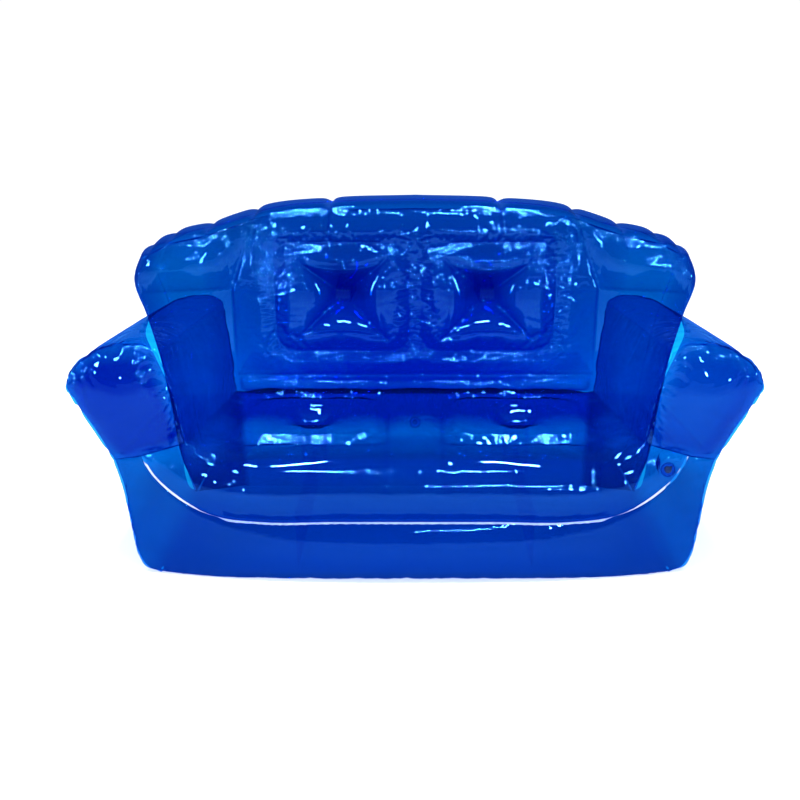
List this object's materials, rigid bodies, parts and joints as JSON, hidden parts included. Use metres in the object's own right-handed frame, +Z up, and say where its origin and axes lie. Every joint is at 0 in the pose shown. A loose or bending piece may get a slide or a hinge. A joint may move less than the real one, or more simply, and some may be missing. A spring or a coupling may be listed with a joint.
{
  "type": "inflatable couch",
  "caption": "Low inflatable couch of clear blue film with rolled arms, a winged scalloped back, square tufts and push-in air valves.",
  "frame": {"origin": "under the middle of the footprint, on the floor plane", "axes": "+Z up, the couch faces -Y, +X to its left arm as one sits, which is on the right in the picture"},
  "size_m": [1.6034, 0.8479, 0.866],
  "materials": {
    "clear_blue_film": "glossy clear film, tinted blue",
    "inner_film": "clear film, tinted blue",
    "valve_plastic": "soft dark blue plastic"
  },
  "bodies": {
    "shell": {"floor_panel": "clear_blue_film", "skirt_front": "clear_blue_film", "seat_cover": "clear_blue_film", "left_arm_outer": "clear_blue_film", "right_arm_outer": "clear_blue_film", "left_arm_inner": "clear_blue_film", "right_arm_inner": "clear_blue_film", "left_arm_front": "clear_blue_film", "right_arm_front": "clear_blue_film", "back_front": "clear_blue_film", "back_rear": "clear_blue_film", "back_rim_band": "clear_blue_film", "seat_deck_web": "inner_film", "base_rib_left": "inner_film", "base_rib_middle": "inner_film", "base_rib_right": "inner_film", "left_arm_waist_web": "inner_film", "right_arm_waist_web": "inner_film", "back_crease_web": "inner_film", "seat_ring_left": "inner_film", "seat_ring_right": "inner_film", "seat_tie_left": "inner_film", "seat_tie_right": "inner_film", "back_ring_left": "inner_film", "back_ring_right": "inner_film", "back_tie_left": "inner_film", "back_tie_right": "inner_film", "seat_valve_flange": "valve_plastic", "back_valve_flange": "valve_plastic", "base_valve_flange": "valve_plastic"},
    "seat_valve_stem_body": {"seat_valve_stem": "valve_plastic"},
    "seat_valve_cap_body": {"seat_valve_cap": "valve_plastic"},
    "seat_valve_flap_body": {"seat_valve_flap": "valve_plastic"},
    "back_valve_stem_body": {"back_valve_stem": "valve_plastic"},
    "back_valve_cap_body": {"back_valve_cap": "valve_plastic"},
    "back_valve_flap_body": {"back_valve_flap": "valve_plastic"},
    "base_valve_stem_body": {"base_valve_stem": "valve_plastic"},
    "base_valve_cap_body": {"base_valve_cap": "valve_plastic"},
    "base_valve_flap_body": {"base_valve_flap": "valve_plastic"}
  },
  "joints": [
    {"name": "seat_valve_push", "type": "slide", "parent": "shell", "child": "seat_valve_stem_body", "axis": [-0.0084, -0.9811, 0.1931], "range_m": [0, 0.01]},
    {"name": "seat_valve_cap_hinge", "type": "hinge", "parent": "seat_valve_stem_body", "child": "seat_valve_cap_body", "pos_m": [0.61356, -0.37423, 0.3066], "axis": [-0.6998, 0.1437, 0.6998], "range_deg": [0, 140]},
    {"name": "seat_valve_flap_hinge", "type": "hinge", "parent": "seat_valve_stem_body", "child": "seat_valve_flap_body", "pos_m": [0.60111, -0.36218, 0.29168], "axis": [-0.6998, 0.1437, 0.6998], "range_deg": [0, 40], "stiffness_Nm_per_rad": 0.0003},
    {"name": "back_valve_push", "type": "slide", "parent": "shell", "child": "back_valve_stem_body", "axis": [-0.0001, 0.9671, -0.2544], "range_m": [0, 0.01]},
    {"name": "back_valve_cap_hinge", "type": "hinge", "parent": "back_valve_stem_body", "child": "back_valve_cap_body", "pos_m": [0, 0.39056, 0.13115], "axis": [1, 0.0001, 0], "range_deg": [0, 140]},
    {"name": "back_valve_flap_hinge", "type": "hinge", "parent": "back_valve_stem_body", "child": "back_valve_flap_body", "pos_m": [0, 0.37197, 0.11784], "axis": [1, 0.0001, 0], "range_deg": [0, 40], "stiffness_Nm_per_rad": 0.0003},
    {"name": "base_valve_push", "type": "slide", "parent": "shell", "child": "base_valve_stem_body", "axis": [0.9972, 0.0038, -0.0753], "range_m": [0, 0.01]},
    {"name": "base_valve_cap_hinge", "type": "hinge", "parent": "base_valve_stem_body", "child": "base_valve_cap_body", "pos_m": [0.69858, -0.00999, 0.16183], "axis": [0.0038, -1, 0], "range_deg": [0, 140]},
    {"name": "base_valve_flap_hinge", "type": "hinge", "parent": "base_valve_stem_body", "child": "base_valve_flap_body", "pos_m": [0.68269, -0.01005, 0.14538], "axis": [0.0038, -1, 0], "range_deg": [0, 40], "stiffness_Nm_per_rad": 0.0003}
  ]
}
